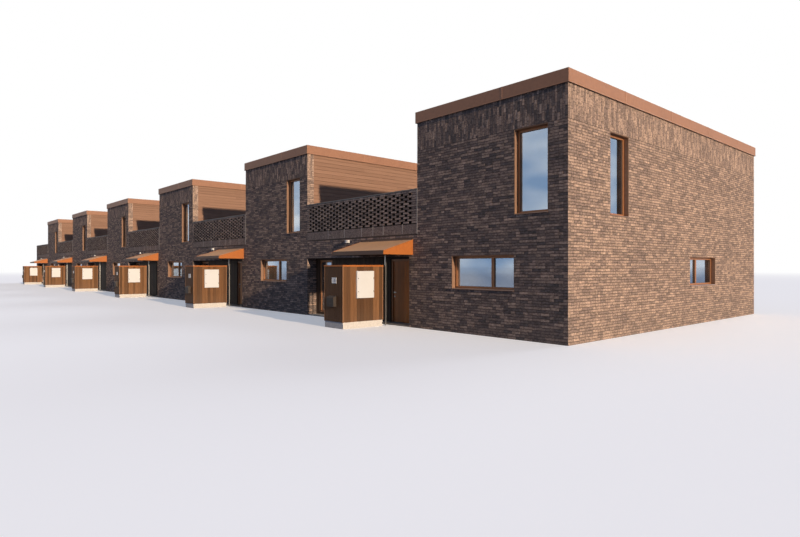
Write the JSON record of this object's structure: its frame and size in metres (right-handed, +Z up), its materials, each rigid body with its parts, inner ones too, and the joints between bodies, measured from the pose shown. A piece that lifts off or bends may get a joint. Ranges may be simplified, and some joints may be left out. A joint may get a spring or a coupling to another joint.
{
  "type": "terraced house row, 1:2 scale model",
  "caption": "Row of flat-roofed brick houses: two-storey blocks with one-storey links, roof terraces behind openwork brick screens, entrance canopies and storage sheds.",
  "frame": {"origin": "middle of the row's outline on the ground", "axes": "+X along the row towards the near gable, +Y from the street to the gardens, +Z up"},
  "size_m": [35.185, 8.004, 3.385],
  "materials": {
    "brick": "matte dark brick with lime-grey joints",
    "screen_brick": "matte dark brick",
    "concrete": "matte cast concrete",
    "terrace_paving": "matte paving slabs",
    "roof_felt": "matte roofing felt",
    "edge_metal": "satin copper-brown coated sheet",
    "terrace_boards": "matte stained boards",
    "dark_boards": "matte dark stained boards",
    "door_wood": "satin red-brown stained wood",
    "bronze_metal": "satin bronze-brown coated metal",
    "window_glass": "clear glazing",
    "steel": "brushed",
    "canopy_metal": "satin rust-orange coated sheet",
    "shed_boards": "matte dark brown boards",
    "plinth_concrete": "matte pale concrete",
    "cap_metal": "satin rust-orange coated sheet",
    "cabinet_white": "satin cream-white coated sheet",
    "letterbox_metal": "satin dark coated sheet",
    "plate_white": "matte white enamel",
    "lamp_plastic": "opal white",
    "sill_metal": "satin brown coated sheet"
  },
  "bodies": {
    "row": {"ground_slabs": "concrete", "upper_floors": "concrete", "terrace_slabs": "terrace_paving", "flat_roofs": "roof_felt", "roof_edges": "edge_metal", "front_walls": "brick", "gable_wall": "brick", "side_walls": "brick", "terrace_boards": "terrace_boards", "rear_walls": "brick", "far_party_wall": "brick", "link_piers": "brick", "link_lintels": "brick", "link_rear_walls": "brick", "brick_screens": "screen_brick", "entrance_panels": "dark_boards", "side_light_frames": "bronze_metal", "side_light_glass": "window_glass", "door_frames": "door_wood", "door_hinges": "steel", "canopies": "canopy_metal", "canopy_posts": "steel", "sheds": "shed_boards", "shed_plinths": "plinth_concrete", "shed_caps": "cap_metal", "meter_cabinets": "cabinet_white", "letterboxes": "letterbox_metal", "number_plates": "plate_white", "wall_lamps": "lamp_plastic", "window_linings": "bronze_metal", "window_frames": "bronze_metal", "window_glass": "window_glass", "window_sills": "sill_metal"},
    "house_door_1": {"door_1": "door_wood", "handle_1": "steel"},
    "house_door_2": {"door_2": "door_wood", "handle_2": "steel"},
    "house_door_3": {"door_3": "door_wood", "handle_3": "steel"},
    "house_door_4": {"door_4": "door_wood", "handle_4": "steel"},
    "house_door_5": {"door_5": "door_wood", "handle_5": "steel"},
    "house_door_6": {"door_6": "door_wood", "handle_6": "steel"}
  },
  "joints": [
    {"name": "door_1_hinge", "type": "hinge", "parent": "row", "child": "house_door_1", "pos_m": [14.5295, -2.66, 0.5425], "axis": [0, 0, -1], "range_deg": [0, 100]},
    {"name": "door_2_hinge", "type": "hinge", "parent": "row", "child": "house_door_2", "pos_m": [8.6945, -2.66, 0.5425], "axis": [0, 0, -1], "range_deg": [0, 100]},
    {"name": "door_3_hinge", "type": "hinge", "parent": "row", "child": "house_door_3", "pos_m": [2.8595, -2.66, 0.5425], "axis": [0, 0, -1], "range_deg": [0, 100]},
    {"name": "door_4_hinge", "type": "hinge", "parent": "row", "child": "house_door_4", "pos_m": [-2.9755, -2.66, 0.5425], "axis": [0, 0, -1], "range_deg": [0, 100]},
    {"name": "door_5_hinge", "type": "hinge", "parent": "row", "child": "house_door_5", "pos_m": [-8.8105, -2.66, 0.5425], "axis": [0, 0, -1], "range_deg": [0, 100]},
    {"name": "door_6_hinge", "type": "hinge", "parent": "row", "child": "house_door_6", "pos_m": [-14.6455, -2.66, 0.5425], "axis": [0, 0, -1], "range_deg": [0, 100]}
  ]
}
